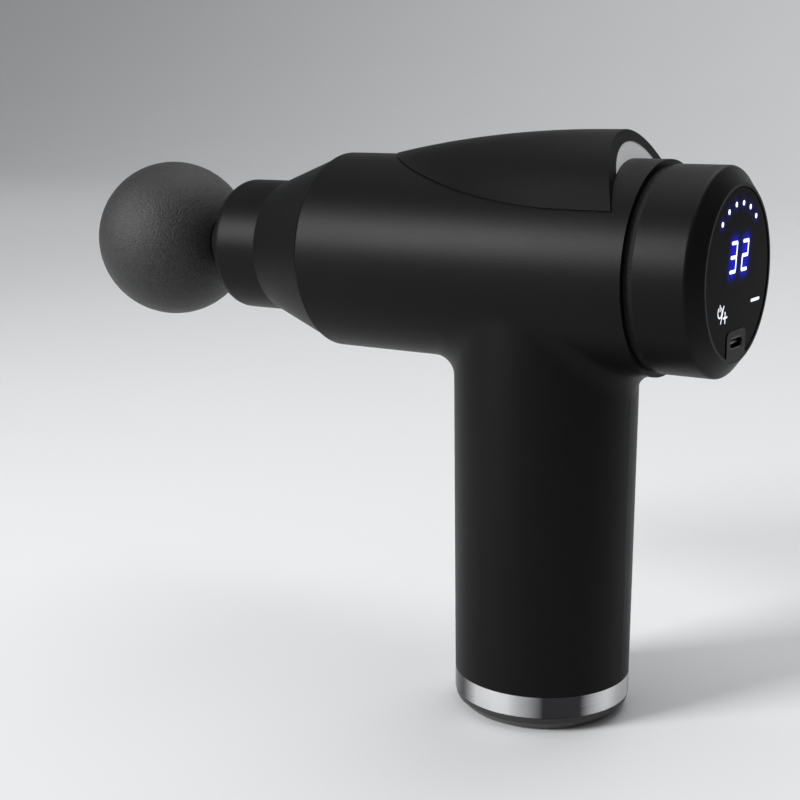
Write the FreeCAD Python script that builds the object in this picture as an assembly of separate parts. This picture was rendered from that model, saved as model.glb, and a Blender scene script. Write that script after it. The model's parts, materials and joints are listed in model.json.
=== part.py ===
"""Handheld percussion massage gun, T-shaped: a horizontal drive barrel on an upright battery handle.

Frame: origin at the centre of the base's underside, +Z up, barrel axis along X, ball head towards -X
and the display at +X.  The drive stands at rear dead centre, with the head drawn in.  Millimetres.
"""
import FreeCAD
import Part
import math
import os

Vec = FreeCAD.Vector
AXIS_X = Vec(1, 0, 0)
AXIS_Y = Vec(0, 1, 0)
AXIS_Z = Vec(0, 0, 1)

# ---- battery ----
cell_radius = 9.2
cell_length = 65.0
cell_gap = 0.2
cell_angles = (60, 180, 300)
cell_orbit = (cell_radius + cell_gap / 2) * 2 / math.sqrt(3)
pack_room = 3.86
holder_height = 7.5
holder_web = 1.4
link_width = 5.0
link_thickness = 0.3
board_thickness = 1.2

# ---- walls and joints of the casing ----
shell_wall = 2.5
shell_seam = 0.06
junction_fillet = 8.0
barrel_edge_round = 0.6
spigot_gap = 0.1
spigot_wall = 2.2
spigot_length = 3.8
casing_clearance = 0.8

# ---- handle and base ----
handle_radius = cell_orbit + cell_radius + pack_room + shell_wall
handle_taper = 0.008
ring_bottom_z = 4.7
ring_height = 6.5
ring_flange = 6.5
ring_flange_thickness = 2.0
handle_bottom_z = ring_bottom_z + ring_height
base_bevel = 2.6
base_cap_radius = handle_radius - 0.3
base_flat_radius = base_cap_radius - base_bevel
pad_radius = base_flat_radius - 1.0
pad_thickness = 1.4
pad_stand = 0.5
base_screw_orbit = handle_radius - 6.0
base_screw_turns = (30, 150, 270)
battery_board_z = handle_bottom_z + 5.0
cell_bottom_z = battery_board_z + board_thickness + 3.2

# ---- drive ----
crank_radius = 5.0
rod_length = 42.0
rod_thickness = 7.0
rod_width = 9.0
rod_flange = 1.6
rod_web = 2.4
big_eye_wall = 3.0
running_gap = 0.05
side_gap = 0.3
bearing_outer = 8.0
bearing_width = 5.0
bearing_ball = 1.2
bearing_balls = 8
shaft_radius = 2.5
pin_root_radius = 1.9
pin_shoulder = 3.6
pin_head = 1.7
pin_socket = 1.7
slip_axial = 1.4
slip_lateral = 5.6
slip_wall = 3.5
wrist_pin_radius = 2.5
clip_width = 1.4
clip_thickness = 0.6
clevis_ear = 3.5
clevis_half_width = 8.0
clevis_block = 5.8
clevis_block_radius = 12.0
push_radius = 7.0
push_wall = 2.0
push_bore = push_radius - push_wall
push_tail = push_bore
push_plug = 4.0
bush_outer = push_radius + 3.0
bush_length = 14.0
guide_outer = bush_outer + 3.0
flange_radius = 22.0
flange_thickness = 3.0

# ---- places along the barrel, set by the drive ----
wrist_x = crank_radius - rod_length
clevis_block_rear = wrist_x - wrist_pin_radius - 2 * slip_axial - slip_wall - 0.4
clevis_block_front = clevis_block_rear - clevis_block
stroke_room = 1.5
frame_front_x = clevis_block_front - 2 * crank_radius - stroke_room
cone_spigot = 5.3
frame_stand = 0.5
barrel_front_x = frame_front_x - frame_stand - cone_spigot
heel_length = 10.2
barrel_rear_x = handle_radius + heel_length
barrel_radius = 30.0

# ---- motor and frame ----
frame_drop = 15.5
frame_plate = 3.0
frame_cheek_y = 18.5
frame_cheek_wall = 2.5
frame_cheek_rise = 9.0
frame_cheek_rear_x = 12.0
frame_rail_half = 14.0
frame_disc_radius = handle_radius - shell_wall - 1.8
motor_screw_orbit = 13.0
wheel_radius = 15.0
wheel_drop = 6.0
wheel_thickness = 5.0
counterweight_radius = 17.0
counterweight_drop = 13.4
mount_thickness = 3.0
bearing_tube_wall = 2.0
motor_bearing_outer = 5.5
motor_bearing_width = 4.0
lead_lane = 4.8
bell_radius = handle_radius - shell_wall - lead_lane
bell_wall = 1.2
bell_height = 21.3
bell_floor = 2.0
bell_gap = 1.0
bell_vents = 6
bell_vent_radius = 2.6
magnet_thickness = 1.1
magnet_count = 14
magnet_height = 16.0
air_gap = 0.4
stator_height = 12.0
stator_hub = 2.2
shoe_thickness = 1.2
shoe_width = 6.0
tooth_count = 12
tooth_width = 1.8
coil_width = 4.4
coil_overhang = 1.8
neck_room = 4.9
motor_drop = frame_drop + 2 * mount_thickness + bell_gap + bell_height
barrel_height = cell_bottom_z + cell_length + neck_room + motor_drop

# ---- casing screws, driven along +Y into the left half ----
screw_radius = 1.25
screw_head_radius = 2.4
screw_head_height = 1.8
boss_radius = 3.2
boss_gap = 0.1
plug_thickness = 1.6
handle_boss_x = handle_radius - 7.0
handle_boss_levels = (cell_bottom_z + 11.4, cell_bottom_z + cell_length - 13.6)
front_boss_x = barrel_front_x + 13.8
front_boss_rise = frame_drop + mount_thickness + boss_radius + side_gap
rear_boss_x = barrel_rear_x - 7.5
rear_boss_drop = barrel_radius - 9.5

# ---- top fairing ----
fairing_front_x = barrel_front_x + 18.7
fairing_rear_x = barrel_rear_x - 5.3
fairing_crest_x = fairing_rear_x - 13.2
fairing_rise = 7.85
fairing_edge = 0.45
fairing_angle = 55.2
fairing_flank_power = 1.7
fairing_plan_power = 0.6
fairing_rake = 0.38
fairing_rim = 3.2
fairing_arch_angle = 29.5
fairing_sink = 1.5
insert_recess = 0.15
insert_thickness = 1.8

# ---- nose ----
cone_length = 23.0
collar_length = 18.3
collar_radius = 20.7
collar_rear_x = barrel_front_x - cone_length
collar_front_x = collar_rear_x - collar_length
collar_lip_radius = collar_radius - 6.7
collar_wall = 4.2
collar_lip = 2.0
collar_round = 4.0
collar_lip_round = 0.7
cone_rear_radius = barrel_radius - 0.7
nose_joint_gap = 0.35
seal_thickness = 1.8
push_front_x = collar_front_x - 0.7
guide_front_x = collar_front_x + collar_lip + seal_thickness + 0.4
damper_length = 6.0

# ---- rear cap and display ----
band_radius = barrel_radius - 1.8
band_width = 2.7
cap_radius = barrel_radius - 1.2
cap_length = 18.2
cap_bevel_length = 3.6
cap_bevel = 4.6
display_x = barrel_rear_x + band_width + cap_length
cap_chamfer_x = display_x - cap_bevel_length
lip_radius = cap_radius - cap_bevel
window_radius = lip_radius - 0.9
window_thickness = 1.4
window_recess = 0.25
window_gap = 0.08
ledge_radius = window_radius - 1.7
lug_width = 13.6
lug_top = window_radius - 8.2
lug_corner = 2.0
port_width = 8.94
port_height = 3.16
port_drop = lug_top + 3.5
port_wall = 0.3
tongue_half_width = 3.35
tongue_half_height = 0.35
display_board_x = display_x - 7.6
driver_board_x = barrel_rear_x + band_width + 1.4
digit_width = 6.6
digit_height = 11.0
digit_rise = 4.7
touch_orbit_y = 12.4
touch_drop = 9.0
touch_spring_radius = 2.6
touch_spring_wall = 0.7
led_count = 6
led_pitch = 16.2
led_orbit = window_radius - 4.4
led_radius = 0.8
led_foot = 2.4

# ---- head ----
ball_radius = 25.7
head_gap = 6.4
ball_centre_x = collar_front_x - head_gap - ball_radius
ball_skin = 3.0
core_wall = 1.4
stem_flange_radius = push_radius + 2.0
stem_flange_x = push_front_x - side_gap
plug_length = 26.0
plug_gap = 0.06
o_ring_section = 0.8

# ---- leads ----
lead_radius = 0.9
lead_spread = 4.2
phase_lead_radius = 0.6
phase_lead_pitch = 1.6
cable_notch_x = 11.0
cable_notch_half = 5.5
ribbon_half_width = 5.0
ribbon_thickness = 0.4
ribbon_rise = 16.0

quarter_turns = (45, 135, 225, 315)

os.makedirs("parts", exist_ok=True)


def place_x(radius, x0, x1):
    """Solid cylinder on the barrel axis from x0 to x1."""
    return Part.makeCylinder(radius, x1 - x0, Vec(x0, 0, barrel_height), AXIS_X)


def place_z(radius, z0, z1, x=0.0, y=0.0):
    """Solid upright cylinder from z0 to z1."""
    return Part.makeCylinder(radius, z1 - z0, Vec(x, y, z0), AXIS_Z)


def place_y(radius, y0, y1, x, z):
    """Solid cylinder across the gun from y0 to y1."""
    return Part.makeCylinder(radius, y1 - y0, Vec(x, y0, z), AXIS_Y)


def tube_x(outer, inner, x0, x1):
    return place_x(outer, x0, x1).cut(place_x(inner, x0 - 1, x1 + 1))


def tube_z(outer, inner, z0, z1, x=0.0, y=0.0):
    return place_z(outer, z0, z1, x, y).cut(place_z(inner, z0 - 1, z1 + 1, x, y))


def block(x0, x1, y0, y1, z0, z1):
    """Box between two corners."""
    return Part.makeBox(x1 - x0, y1 - y0, z1 - z0, Vec(x0, y0, z0))


def axis_block(x0, x1, y0, y1, rise0, rise1):
    """Box whose heights are measured from the barrel axis."""
    return block(x0, x1, y0, y1, barrel_height + rise0, barrel_height + rise1)


def turned_x(profile):
    """Solid turned about the barrel axis from (x, radius) corners."""
    corners = [Vec(x, 0, barrel_height + r) for x, r in profile]
    face = Part.Face(Part.makePolygon(corners + corners[:1]))
    return face.revolve(Vec(0, 0, barrel_height), AXIS_X, 360)


def turned_z(profile):
    """Solid turned about the handle axis from (radius, z) corners."""
    corners = [Vec(r, 0, z) for r, z in profile]
    face = Part.Face(Part.makePolygon(corners + corners[:1]))
    return face.revolve(Vec(0, 0, 0), AXIS_Z, 360)


def rounded(shape, radius, chosen):
    """Fillet the edges that chosen(edge) accepts."""
    edges = [edge for edge in shape.Edges if chosen(edge)]
    return shape.makeFillet(radius, edges)


def ring_at_x(x, radius):
    """Test for the circular edge of that radius at x on the barrel axis."""
    def test(edge):
        box = edge.BoundBox
        flat = box.XLength < 1e-3 and abs(box.XMin - x) < 1e-3
        return flat and abs(box.YLength / 2 - radius) < 1e-2
    return test


def ring_at_z(z, radius):
    """Test for the circular edge of that radius at z on the handle axis."""
    def test(edge):
        box = edge.BoundBox
        flat = box.ZLength < 1e-3 and abs(box.ZMin - z) < 1e-3
        return flat and abs(box.XLength / 2 - radius) < 1e-2
    return test


def spun_z(shape, degrees, x=0.0, y=0.0):
    """Copy of the shape turned about an upright line."""
    copy = shape.copy()
    copy.rotate(Vec(x, y, 0), AXIS_Z, degrees)
    return copy


def spun_x(shape, degrees):
    """Copy of the shape turned about the barrel axis."""
    copy = shape.copy()
    copy.rotate(Vec(0, 0, barrel_height), AXIS_X, degrees)
    return copy


def save(name, shape):
    """Write one node, a solid or a group of separate solids."""
    solids = shape.Solids
    bad = [solid for solid in solids if not solid.isValid() or solid.Volume <= 0]
    print(f"{name:22s} solids {len(solids):3d} volume {shape.Volume:10.1f} bad {len(bad)}")
    result = solids[0] if len(solids) == 1 else Part.makeCompound(solids)
    result.exportStep(f"parts/{name}.step")


# ---- casing -------------------------------------------------------------------------------------

def handle_radius_at(z):
    """Outer radius of the tapered handle."""
    return handle_radius + handle_taper * (z - handle_bottom_z)


def tee(inset, round_joint):
    """The casing's T shape, drawn in by inset."""
    reach = 0.0 if inset == 0 else 1.0
    barrel = place_x(barrel_radius - inset, barrel_front_x - reach, barrel_rear_x + reach)
    if round_joint:
        barrel = rounded(barrel, barrel_edge_round, ring_at_x(barrel_front_x, barrel_radius))
    bottom = handle_bottom_z - reach
    handle = Part.makeCone(
        handle_radius_at(bottom) - inset, handle_radius_at(barrel_height) - inset,
        barrel_height - bottom, Vec(0, 0, bottom), AXIS_Z)
    joined = barrel.fuse(handle)
    if not round_joint:
        return joined

    def is_joint(edge):
        box = edge.BoundBox
        inside = barrel_front_x + 5 < box.XMin and box.XMax < barrel_rear_x - 5
        return inside and box.ZMin > barrel_height - barrel_radius - 1 and box.YLength > 5
    return rounded(joined, junction_fillet, is_joint)


def screw_places():
    """(x, z) of each casing screw."""
    places = [(handle_boss_x, z) for z in handle_boss_levels]
    places.append((front_boss_x, barrel_height + front_boss_rise))
    places.append((front_boss_x, barrel_height - front_boss_rise))
    places.append((rear_boss_x, barrel_height - rear_boss_drop))
    return places


def casing_depth(x, z):
    """How far the outer skin lies from the seam plane at a screw."""
    if z > barrel_height - barrel_radius:
        return math.sqrt(barrel_radius ** 2 - (z - barrel_height) ** 2)
    return math.sqrt(handle_radius_at(z) ** 2 - x ** 2)


def casing():
    """Both casing halves, the screws that close them and the plugs over the screws."""
    outer = tee(0.0, True)
    inner = tee(shell_wall, False)
    mid_wall = tee(shell_wall / 2, False)
    shell = outer.cut(inner)
    half = shell_seam / 2
    far = 200.0
    left = shell.common(block(-far, far, -far, -half, 0, far * 2))
    right = shell.common(block(-far, far, half, far, 0, far * 2))
    screws = []
    plugs = []
    for x, z in screw_places():
        depth = casing_depth(x, z)
        seat = depth - plug_thickness - screw_head_height - shell_wall
        left_post = place_y(boss_radius, -depth, -half, x, z).common(mid_wall)
        left = left.fuse(left_post).cut(place_y(screw_radius, -depth + 5, 0, x, z))
        right_post = place_y(boss_radius, boss_gap, depth, x, z).common(mid_wall)
        recess = place_y(screw_head_radius + boss_gap, seat, depth + 8, x, z)
        right = right.fuse(right_post).cut(recess)
        right = right.cut(place_y(screw_radius + boss_gap, -1, depth, x, z))
        shank = place_y(screw_radius, -depth + 5.5, seat, x, z)
        head = place_y(screw_head_radius, seat, seat + screw_head_height, x, z)
        socket = place_y(screw_radius * 0.8, seat + screw_head_height / 2, depth, x, z)
        screws.append(shank.fuse(head).cut(socket))
        plug = place_y(screw_head_radius + boss_gap, seat + screw_head_height, depth + 8, x, z)
        plugs.append(plug.common(outer))
    save("housing_left", left.removeSplitter())
    save("housing_right", right.removeSplitter())
    save("housing_screws", Part.makeCompound(screws))
    save("screw_plugs", Part.makeCompound(plugs))


# ---- top fairing --------------------------------------------------------------------------------

def crest_height(x):
    """Height of the fairing's ridge above the barrel skin."""
    if x >= fairing_crest_x:
        return fairing_rise
    run = (fairing_crest_x - x) / (fairing_crest_x - fairing_front_x)
    return fairing_edge + (fairing_rise - fairing_edge) * (1 - run * run)


def plan_angle(x):
    """Half angle, in degrees about the barrel axis, that the fairing covers."""
    run = max(0.0, (fairing_crest_x - x) / (fairing_crest_x - fairing_front_x))
    return fairing_angle * (1 - run * run) ** fairing_plan_power


def polar(x, radius, degrees):
    """Point at an angle from the top of the barrel."""
    angle = math.radians(degrees)
    return Vec(x, radius * math.sin(angle), barrel_height + radius * math.cos(angle))


def arch_wire(x, points, foot_radius, half_angle):
    """Closed section: a curve over the top, radial sides and a straight bottom."""
    curve = Part.BSplineCurve()
    curve.interpolate(points)
    left_foot = polar(x, foot_radius, -half_angle)
    right_foot = polar(x, foot_radius, half_angle)
    edges = [curve.toShape()]
    edges.append(Part.makeLine(points[-1], right_foot))
    edges.append(Part.makeLine(right_foot, left_foot))
    edges.append(Part.makeLine(left_foot, points[0]))
    return Part.Wire(edges)


def fairing_section(x):
    """Outer section: a ridge that falls away to a thin edge."""
    half_angle = plan_angle(x)
    rise = crest_height(x) - fairing_edge
    points = []
    for step in range(-6, 7):
        share = step / 6
        swell = abs(math.cos(math.pi / 2 * share)) ** fairing_flank_power
        radius = barrel_radius + fairing_edge + rise * swell
        points.append(polar(x, radius, share * half_angle))
    return arch_wire(x, points, barrel_radius - fairing_sink, half_angle)


def hollow_section(x):
    """Inner section: a low arch on the barrel."""
    half_angle = fairing_arch_angle * plan_angle(x) / fairing_angle
    rise = max(crest_height(x) - fairing_rim, 0.3)
    points = []
    for step in range(-4, 5):
        share = step / 4
        points.append(polar(x, barrel_radius + rise * (1 - share * share), share * half_angle))
    return arch_wire(x, points, barrel_radius - fairing_sink, half_angle)


def behind_rake(offset):
    """Large block behind the fairing's leaning rear face."""
    low = -40.0
    high = 60.0
    edge_rise = barrel_radius * math.cos(math.radians(fairing_angle))
    corners = []
    for rise in (low, high):
        x = fairing_rear_x + offset - fairing_rake * (rise - edge_rise)
        corners.append(Vec(x, -60, barrel_height + rise))
    corners.append(Vec(120, -60, barrel_height + high))
    corners.append(Vec(120, -60, barrel_height + low))
    face = Part.Face(Part.makePolygon(corners + corners[:1]))
    return face.extrude(Vec(0, 120, 0))


def fairing():
    """Streamlined cover along the top of the barrel and the pale insert that closes its rear arch."""
    reach = fairing_crest_x - fairing_front_x
    stations = [fairing_front_x + 0.25]
    shares = (0.03, 0.08, 0.16, 0.27, 0.4, 0.55, 0.72, 0.88)
    stations += [fairing_front_x + reach * share for share in shares]
    stations += [fairing_crest_x, fairing_rear_x, fairing_rear_x + 10]
    outer = Part.makeLoft([fairing_section(x) for x in stations], True, False)
    hollow_stations = [fairing_front_x + reach * share for share in (0.42, 0.6, 0.8, 1.0)]
    hollow_stations += [fairing_rear_x, fairing_rear_x + 12]
    hollow = Part.makeLoft([hollow_section(x) for x in hollow_stations], True, False)
    barrel = place_x(barrel_radius, barrel_front_x - 5, barrel_rear_x + 60)
    body = outer.cut(barrel).cut(hollow).cut(behind_rake(0.0))
    slab = behind_rake(-insert_recess - insert_thickness).cut(behind_rake(-insert_recess))
    insert = hollow.common(slab).cut(barrel)
    save("top_fairing", body)
    save("fairing_insert", insert)


# ---- nose ---------------------------------------------------------------------------------------

def flange_screw_bar(radius, x, length, turn):
    """Bar parallel to the barrel axis on the guide flange's screw circle."""
    orbit = (guide_outer + flange_radius) / 2
    return spun_x(Part.makeCylinder(radius, length, Vec(x, 0, barrel_height + orbit), AXIS_X), turn)


def nose():
    """Cone and collar in front of the barrel, with the seal that the push shaft runs in."""
    joint_x = barrel_front_x - nose_joint_gap
    inner = barrel_radius - shell_wall - spigot_gap
    cone = turned_x([
        (collar_rear_x, collar_radius), (joint_x, cone_rear_radius), (joint_x, inner),
        (barrel_front_x + cone_spigot, inner), (barrel_front_x + cone_spigot, inner - spigot_wall),
        (joint_x, inner - spigot_wall), (collar_rear_x, collar_radius - shell_wall)])
    save("nose_cone", cone)

    bore = collar_radius - collar_wall
    spigot = collar_radius - shell_wall - spigot_gap
    collar = turned_x([
        (collar_front_x, collar_lip_radius), (collar_front_x, collar_radius),
        (collar_rear_x, collar_radius), (collar_rear_x, spigot),
        (collar_rear_x + spigot_length, spigot), (collar_rear_x + spigot_length, bore),
        (collar_front_x + collar_lip, bore), (collar_front_x + collar_lip, collar_lip_radius)])
    collar = rounded(collar, collar_round, ring_at_x(collar_front_x, collar_radius))
    collar = rounded(collar, collar_lip_round, ring_at_x(collar_front_x, collar_lip_radius))
    save("nose_collar", collar)

    seal_x = collar_front_x + collar_lip
    seal = turned_x([
        (seal_x, bore), (seal_x, push_radius + side_gap), (seal_x + 0.7, push_radius + side_gap),
        (seal_x + 0.9, push_radius + side_gap + 1.5),
        (seal_x + seal_thickness, push_radius + side_gap + 1.5), (seal_x + seal_thickness, bore)])
    save("dust_seal", seal)


def guide():
    """Guide tube behind the nose, its two bushes, the damper round it and its flange screws."""
    rear_x = frame_front_x
    tube = tube_x(guide_outer, bush_outer, guide_front_x, rear_x)
    flange = tube_x(flange_radius, bush_outer, rear_x - flange_thickness, rear_x)
    holes = []
    screws = []
    flange_x = rear_x - flange_thickness
    for turn in quarter_turns:
        shank = flange_screw_bar(screw_radius, flange_x, flange_thickness + frame_plate, turn)
        cap = flange_screw_bar(screw_head_radius, flange_x - screw_head_height, screw_head_height, turn)
        holes.append(shank)
        screws.append(shank.fuse(cap).removeSplitter())
    save("guide_tube", tube.fuse(flange).cut(Part.makeCompound(holes)).removeSplitter())
    save("guide_screws", Part.makeCompound(screws))
    bore = push_radius + running_gap
    save("front_bush", tube_x(bush_outer, bore, guide_front_x, guide_front_x + bush_length))
    save("rear_bush", tube_x(bush_outer, bore, rear_x - bush_length, rear_x))
    damper_x = guide_front_x + 3.0
    damper = tube_x(collar_radius - collar_wall, guide_outer, damper_x, damper_x + damper_length)
    save("nose_damper", damper)


# ---- rear cap and display -----------------------------------------------------------------------

def lug_outline(grow, x0, x1):
    """Tab that stands up into the window from the cap's lower rim."""
    half = lug_width / 2 + grow
    top = -lug_top + grow
    tab = axis_block(x0, x1, -half, half, -window_radius - 3, top)

    def is_corner(edge):
        box = edge.BoundBox
        return box.XLength > 0.1 and box.YLength < 1e-3 and abs(box.ZMax - barrel_height - top) < 1e-3
    return rounded(tab, lug_corner + grow, is_corner)


def port_outline(width, height, x0, x1):
    """Long hole with round ends, centred on the charging port."""
    z = barrel_height - port_drop
    radius = height / 2
    reach = width / 2 - radius
    bar = block(x0, x1, -reach, reach, z - radius, z + radius)
    for y in (-reach, reach):
        bar = bar.fuse(Part.makeCylinder(radius, x1 - x0, Vec(x0, y, z), AXIS_X))
    return bar.removeSplitter()


def rear_cap():
    """Band behind the barrel, the cap with its bevelled rim, and the dark window in it."""
    band_front = barrel_rear_x
    band_rear = barrel_rear_x + band_width
    front_spigot = barrel_radius - shell_wall - spigot_gap
    rear_spigot = cap_radius - shell_wall - spigot_gap
    bore = rear_spigot - spigot_wall / 2
    band = turned_x([
        (band_front - spigot_length, bore), (band_front - spigot_length, front_spigot),
        (band_front, front_spigot), (band_front, band_radius), (band_rear, band_radius),
        (band_rear, rear_spigot), (band_rear + spigot_length, rear_spigot),
        (band_rear + spigot_length, bore)])
    save("rear_band", band)

    cavity = cap_radius - shell_wall
    seat_x = display_x - window_recess - window_thickness
    shoulder_x = cap_chamfer_x - 2.6
    cap = turned_x([
        (band_rear, cavity), (band_rear, cap_radius), (cap_chamfer_x, cap_radius),
        (display_x, lip_radius), (display_x, window_radius), (seat_x, window_radius),
        (seat_x, ledge_radius), (shoulder_x, ledge_radius), (shoulder_x, cavity)])
    cap = rounded(cap, 1.2, ring_at_x(cap_chamfer_x, cap_radius))
    cap = rounded(cap, 0.3, ring_at_x(display_x, lip_radius))
    tab = lug_outline(0.0, shoulder_x, display_x).common(place_x(lip_radius - 0.4, 0, display_x))
    opening = port_outline(port_width + 0.1, port_height + 0.1, 0, display_x + 5)
    save("rear_cap", cap.fuse(tab).cut(opening).removeSplitter())

    window = place_x(window_radius - window_gap, seat_x, display_x - window_recess)
    window = rounded(window, 0.2, ring_at_x(display_x - window_recess, window_radius - window_gap))
    save("display_window", window.cut(lug_outline(window_gap, 0, display_x + 5)))


def display_electronics():
    """Board behind the window with its digits, level lights, touch springs and charging socket."""
    x0 = display_board_x
    x1 = x0 + board_thickness
    seat_x = display_x - window_recess - window_thickness
    save("display_board", place_x(ledge_radius - 0.5, x0, x1))

    digits = []
    for side in (-1, 1):
        centre = side * (digit_width / 2 + 0.3)
        digits.append(axis_block(x1, seat_x - 0.4, centre - digit_width / 2, centre + digit_width / 2,
                                 digit_rise - digit_height / 2, digit_rise + digit_height / 2))
    save("digit_module", Part.makeCompound(digits))

    leds = []
    for index in range(led_count):
        turn = (index - (led_count - 1) / 2) * led_pitch
        base = Vec(x1, 0, barrel_height + led_orbit)
        lamp = Part.makeCylinder(led_radius, seat_x - 0.4 - x1, base, AXIS_X)
        corner = Vec(x1, -led_foot / 2, barrel_height + led_orbit - led_foot / 2)
        foot = Part.makeBox(1.0, led_foot, led_foot, corner)
        leds.append(spun_x(lamp.fuse(foot), -turn))
    save("level_leds", Part.makeCompound(leds))

    springs = []
    for side in (-1, 1):
        spring = tube_x(touch_spring_radius, touch_spring_radius - touch_spring_wall, x1, seat_x)
        spring.translate(Vec(0, side * touch_orbit_y, -touch_drop))
        springs.append(spring)
    save("touch_springs", Part.makeCompound(springs))

    shell = port_outline(port_width, port_height, x1, display_x - 0.1)
    bore = port_outline(port_width - 2 * port_wall, port_height - 2 * port_wall,
                        x1 + 1.5, display_x + 1)
    z = barrel_height - port_drop
    tongue = block(x1 + 1.0, display_x - 1.0, -tongue_half_width, tongue_half_width,
                   z - tongue_half_height, z + tongue_half_height)
    save("charge_port", shell.cut(bore).fuse(tongue).removeSplitter())


def driver_electronics():
    """Motor driver board across the rear of the barrel, with its larger components."""
    x0 = driver_board_x
    x1 = x0 + board_thickness
    radius = cap_radius - shell_wall - spigot_gap - spigot_wall / 2 - 0.6
    save("driver_board", place_x(radius, x0, x1))
    parts = []
    for y, rise in ((-12.0, 8.0), (0.0, 12.0), (12.0, 8.0)):
        can = place_x(3.2, x1, x1 + 6.0)
        can.translate(Vec(0, y, rise))
        parts.append(can)
    for y in (-13.5, -8.1, -2.7, 2.7, 8.1, 13.5):
        parts.append(axis_block(x1, x1 + 1.6, y - 2.0, y + 2.0, -14.0, -8.0))
    parts.append(axis_block(x1, x1 + 1.2, -4.0, 4.0, -4.0, 4.0))
    parts.append(axis_block(x1, x1 + 4.0, -5.0, 5.0, -20.0, -16.0))
    save("driver_parts", Part.makeCompound(parts))


# ---- base ---------------------------------------------------------------------------------------

def base():
    """Bright ring under the handle, the cap below it, its screws and the rubber pad it stands on."""
    bore = handle_radius - shell_wall
    spigot_top = handle_bottom_z + spigot_length
    ring = turned_z([
        (bore, ring_bottom_z), (handle_radius, ring_bottom_z), (handle_radius, handle_bottom_z),
        (bore - spigot_gap, handle_bottom_z), (bore - spigot_gap, spigot_top),
        (bore - spigot_wall, spigot_top), (bore - spigot_wall, handle_bottom_z),
        (bore - ring_flange, handle_bottom_z),
        (bore - ring_flange, handle_bottom_z - ring_flange_thickness),
        (bore, handle_bottom_z - ring_flange_thickness)])
    ring = rounded(ring, 0.25, ring_at_z(ring_bottom_z, handle_radius))

    post_top = handle_bottom_z - ring_flange_thickness
    floor_z = pad_stand + pad_thickness + 1.2
    cap = turned_z([
        (0, pad_stand), (base_flat_radius, pad_stand), (base_cap_radius, pad_stand + base_bevel),
        (base_cap_radius, ring_bottom_z), (bore - spigot_gap, ring_bottom_z),
        (bore - spigot_gap, post_top), (bore - spigot_wall, post_top),
        (bore - spigot_wall, floor_z), (0, floor_z)])
    cap = rounded(cap, 1.6, ring_at_z(pad_stand + base_bevel, base_cap_radius))
    cap = rounded(cap, 0.6, ring_at_z(pad_stand, base_flat_radius))
    pad = place_z(pad_radius, 0, pad_thickness)
    pad = rounded(pad, 0.3, ring_at_z(0, pad_radius))
    cap = cap.cut(place_z(pad_radius, 0, pad_thickness))
    screws = []
    for turn in base_screw_turns:
        angle = math.radians(turn)
        x = base_screw_orbit * math.cos(angle)
        y = base_screw_orbit * math.sin(angle)
        post = place_z(boss_radius - 0.6, pad_thickness + 1.0, post_top, x, y)
        cap = cap.fuse(post)
        seat = pad_thickness + screw_head_height
        cap = cap.cut(place_z(screw_head_radius, pad_thickness - 0.5, seat, x, y))
        cap = cap.cut(place_z(screw_radius, 0, post_top + 1, x, y))
        ring = ring.cut(place_z(screw_radius, post_top - 1, handle_bottom_z + 8, x, y))
        shank = place_z(screw_radius, seat, handle_bottom_z + 1.0, x, y)
        head = place_z(screw_head_radius, pad_thickness, seat, x, y)
        screws.append(shank.fuse(head).removeSplitter())
    save("base_ring", ring)
    save("base_cap", cap.removeSplitter())
    save("base_screws", Part.makeCompound(screws))
    save("foot_pad", pad)


# ---- battery ------------------------------------------------------------------------------------

def cell_places():
    """Centres of the three cells, packed round the handle axis with one towards the front."""
    angles = [math.radians(degrees) for degrees in cell_angles]
    return [(cell_orbit * math.cos(angle), cell_orbit * math.sin(angle)) for angle in angles]


def cell_holder(z0, z1, web_at_bottom):
    """Disc with three pockets, flattened where the casing's screw posts pass."""
    web = (z0, z0 + holder_web) if web_at_bottom else (z1 - holder_web, z1)
    holder = place_z(handle_radius - shell_wall - casing_clearance, z0, z1)
    for x, y in cell_places():
        holder = holder.cut(place_z(cell_radius, z0 - 1, z1 + 1, x, y))
    plate = place_z(handle_radius - shell_wall - casing_clearance, web[0], web[1])
    for x, y in cell_places():
        plate = plate.cut(place_z(cell_radius * 0.7, z0 - 1, z1 + 1, x, y))
    holder = holder.fuse(plate)
    cut_x = handle_boss_x - boss_radius - 0.4
    return holder.cut(block(cut_x, 40, -40, 40, z0 - 1, z1 + 1)).removeSplitter()


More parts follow.
